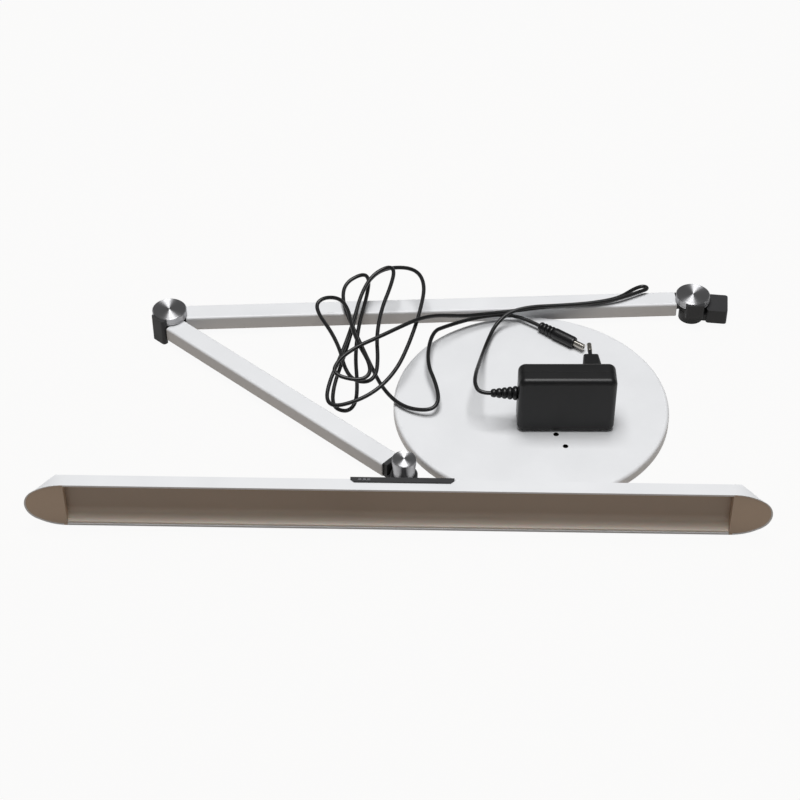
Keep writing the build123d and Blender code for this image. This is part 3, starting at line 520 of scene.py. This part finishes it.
for node in ("elbow_cap", "foot_cap"):
    middle, radius, bottom, top = turnedSize(node)
    waist = radius - turnedCap["groove"]
    grooveLow = bottom + turnedCap["grooveUp"]
    grooveHigh = grooveLow + turnedCap["grooveWidth"]
    profile = [
        (0.0, bottom), (radius, bottom), (radius, grooveLow), (waist, grooveLow + turnedCap["grooveSlope"]),
        (waist, grooveHigh - turnedCap["grooveSlope"]), (radius, grooveHigh)]
    turnedPiece(node, profile + sunkenTop(turnedCap, radius, top), middle, turnedCap["steps"])

middle, radius, bottom, top = turnedSize("head_knob")
profile = [
    (0.0, bottom), (knob["neckRadius"], bottom), (knob["neckRadius"], bottom + knob["neckHeight"]),
    (radius, top - knob["rimHeight"])]
turnedPiece("head_knob", profile + sunkenTop(knob, radius, top), middle, knob["steps"])
print("turned pieces made")


# End caps of the light bar: a sunken front face in painted shade inside a pale rim

endCap = {"edge": 0.5, "segments": 3, "rim": 1.2, "sink": 0.5, "seam": 2.2, "slant": 0.5}
barLow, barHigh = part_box("diffuser")
barMiddle = (barLow.x + barHigh.x) / 2
barHalf = (barHigh.x - barLow.x) / 2
for node in ("left_end_cap", "right_end_cap"):
    shape = softenedCopy(node, endCap["edge"], endCap["segments"])
    front = max(shape.faces, key=lambda face: -face.normal.y * face.calc_area())
    bmesh.ops.inset_region(
        shape, faces=[front], thickness=endCap["rim"] * mm, depth=-endCap["sink"] * mm, use_even_offset=True)
    # the sunken face takes the painted shade
    front.material_index = 1
    for face in shape.faces:  # the rim is pale only round the outer curve; by the inner edge it takes the face's painted shade
        alongBar = abs(face.calc_center_median().x - barMiddle)
        upright = abs(face.normal.z) < endCap["slant"] and face.normal.y < endCap["slant"]
        if upright and alongBar < barHalf + endCap["seam"] * mm:
            face.material_index = 1
    finishPiece(node, shape, [finish["powderCoatWhite"], finish["mouldedAbsPaintedShade"]])
print("end caps made")


# Strain relief of the adaptor and the DC plug

relief = {
    "length": 22.0, "ribs": 5, "root": 6.2, "tip": 3.3, "ribDepth": 0.26, "spigot": 2.9, "spigotLength": 2.0,
    "steps": 64,
}
reliefAxis = Vector((-1.0, 0.0, 0.0))
reliefFoot = Vector(adaptorRoute[0]) - reliefAxis * relief["length"]
profile = [
    (0.0, -relief["spigotLength"]), (relief["spigot"], -relief["spigotLength"]), (relief["spigot"], 0.0)]
profile += ribbedProfile(relief["length"], relief["ribs"], relief["root"], relief["tip"], relief["ribDepth"])
profile += [(0.0, relief["length"])]
shape = spunShape(profile, reliefFoot, reliefAxis, relief["steps"])
finishPiece("adaptor_relief", shape, [finish["extrudedPvcBlack"]])

handleRadius = dcPlug["handleRadius"]
handleEnd = dcPlug["relief"] + dcPlug["handle"]
socketRadius = dcPlug["barrelRadius"] + dcPlug["socketGap"]
socketFloor = handleEnd - dcPlug["socket"]
profile = [(0.0, 0.0)]
profile += ribbedProfile(
    dcPlug["relief"], dcPlug["ribs"], dcPlug["ribStart"], dcPlug["ribEnd"], dcPlug["ribDepth"])
profile += [
    (dcPlug["collarRadius"], dcPlug["relief"] + dcPlug["collar"]),
    (handleRadius - dcPlug["shoulderDrop"], dcPlug["relief"] + dcPlug["shoulder"]),
    (handleRadius, dcPlug["relief"] + dcPlug["shoulderEnd"]),
    (handleRadius, handleEnd - dcPlug["nose"]),
    (handleRadius - dcPlug["noseDrop"], handleEnd - dcPlug["noseTip"]),
    (handleRadius - dcPlug["noseEdge"], handleEnd),
    (socketRadius, handleEnd), (socketRadius, socketFloor), (0.0, socketFloor),
]
shape = spunShape(profile, plugStart, plugAxis, dcPlug["handleSteps"])
plugHandle = finishPiece("dc_plug_handle", shape, [finish["extrudedPvcBlack"]])

barrelEnd = handleEnd + dcPlug["barrel"]
profile = [
    (dcPlug["bore"], socketFloor), (dcPlug["barrelRadius"], socketFloor),
    (dcPlug["barrelRadius"], barrelEnd - dcPlug["barrelEdge"]),
    (dcPlug["barrelRadius"] - dcPlug["barrelEdge"], barrelEnd),
    (dcPlug["bore"] + dcPlug["boreEdge"], barrelEnd), (dcPlug["bore"], barrelEnd - dcPlug["boreEdge"]),
    (dcPlug["bore"], socketFloor),
]
shape = spunShape(profile, plugStart, plugAxis, dcPlug["barrelSteps"])
plugBarrel = finishPiece("dc_plug_barrel", shape, [finish["nickelPlate"]])
print("relief and plug made")


# Inner pieces keep the solid's shape

kept = {
    "led_strip": "solderMask", "control_board": "solderMask", "adaptor_board": "solderMask",
    "adaptor_transformer": "polyesterTape", "lower_arm_wire": "extrudedPvcBlack",
    "upper_arm_wire": "extrudedPvcBlack",
}
for joint in ("elbow", "foot", "head"):
    kept[joint + "_friction_washer"] = "mouldedAbsWhite"
    kept[joint + "_bolt"] = "zincPlate"
    kept[joint + "_nut"] = "zincPlate"
for node, look in kept.items():
    mesh = frame["nodes"][node].data
    mesh.materials.clear()
    mesh.materials.append(finish[look])
print("inner pieces painted")


# Floor and light

stageLook = {
    "floor": "#A2978B", "floorSize": 8000.0, "floorDrop": 0.05, "floorGlow": 0.94, "glow": "#FFFFFF",
    "covered": 105.0,  # no glow under the base, so that its screw holes are dark
    "sky": "#FFFFFF", "skyStrength": 0.14,
    "lampPower": 47.0, "lampWidth": 1000.0, "lampLength": 1400.0, "lampPlace": (-100.0, 120.0, 2200.0),
}

floorMesh = bpy.data.meshes.new("floor")
floorShape = bmesh.new()
bmesh.ops.create_grid(floorShape, x_segments=1, y_segments=1, size=stageLook["floorSize"] * mm)
floorShape.to_mesh(floorMesh)
floorShape.free()
floor = bpy.data.objects.new("floor", floorMesh)
floor.location.z = -stageLook["floorDrop"] * mm
bpy.context.collection.objects.link(floor)
floorMaterial = bpy.data.materials.new("paleFloor")
floorMaterial.use_nodes = True
tree = floorMaterial.node_tree
tree.nodes.clear()
diffuse = addNode(tree, "ShaderNodeBsdfDiffuse", {"Color": linear(stageLook["floor"])})
glow = addNode(tree, "ShaderNodeEmission", {"Color": linear(stageLook["glow"]), "Strength": 1.0})
rays = addNode(tree, "ShaderNodeLightPath")
straight = addNode(
    tree, "ShaderNodeMath", links={0: rays.outputs["Is Camera Ray"], 1: rays.outputs["Is Transmission Ray"]},
    operation="MAXIMUM")
seen = addNode(
    tree, "ShaderNodeMath", links={0: straight.outputs[0], 1: rays.outputs["Is Glossy Ray"]},
    operation="MAXIMUM")
place = addNode(tree, "ShaderNodeTexCoord").outputs["Object"]
away = addNode(tree, "ShaderNodeVectorMath", links={0: place}, operation="LENGTH")
clear = addNode(
    tree, "ShaderNodeMath", {1: stageLook["covered"] * mm}, {0: away.outputs["Value"]},
    operation="GREATER_THAN")
bare = addNode(
    tree, "ShaderNodeMath", links={0: seen.outputs[0], 1: clear.outputs[0]}, operation="MULTIPLY")
share = addNode(
    tree, "ShaderNodeMath", {1: stageLook["floorGlow"]}, {0: bare.outputs[0]}, operation="MULTIPLY")
blend = addNode(
    tree, "ShaderNodeMixShader", links={0: share.outputs[0], 1: diffuse.outputs[0], 2: glow.outputs[0]})
addNode(tree, "ShaderNodeOutputMaterial", links={"Surface": blend.outputs[0]})
floorMesh.materials.append(floorMaterial)

world = bpy.data.worlds.new("softSky")
bpy.context.scene.world = world
world.use_nodes = True
world.node_tree.nodes.clear()
sky = addNode(world.node_tree, "ShaderNodeBackground", {
    "Color": linear(stageLook["sky"]), "Strength": stageLook["skyStrength"]})
addNode(world.node_tree, "ShaderNodeOutputWorld", links={"Surface": sky.outputs[0]})

lamp = bpy.data.lights.new("ceilingLight", "AREA")
lamp.shape = "RECTANGLE"
lamp.size = stageLook["lampWidth"] * mm
lamp.size_y = stageLook["lampLength"] * mm
lamp.energy = stageLook["lampPower"]
ceilingLight = bpy.data.objects.new("ceilingLight", lamp)
ceilingLight.location = Vector(stageLook["lampPlace"]) * mm
bpy.context.collection.objects.link(ceilingLight)
bpy.context.scene.view_settings.view_transform = "Standard"
print("stage lit")
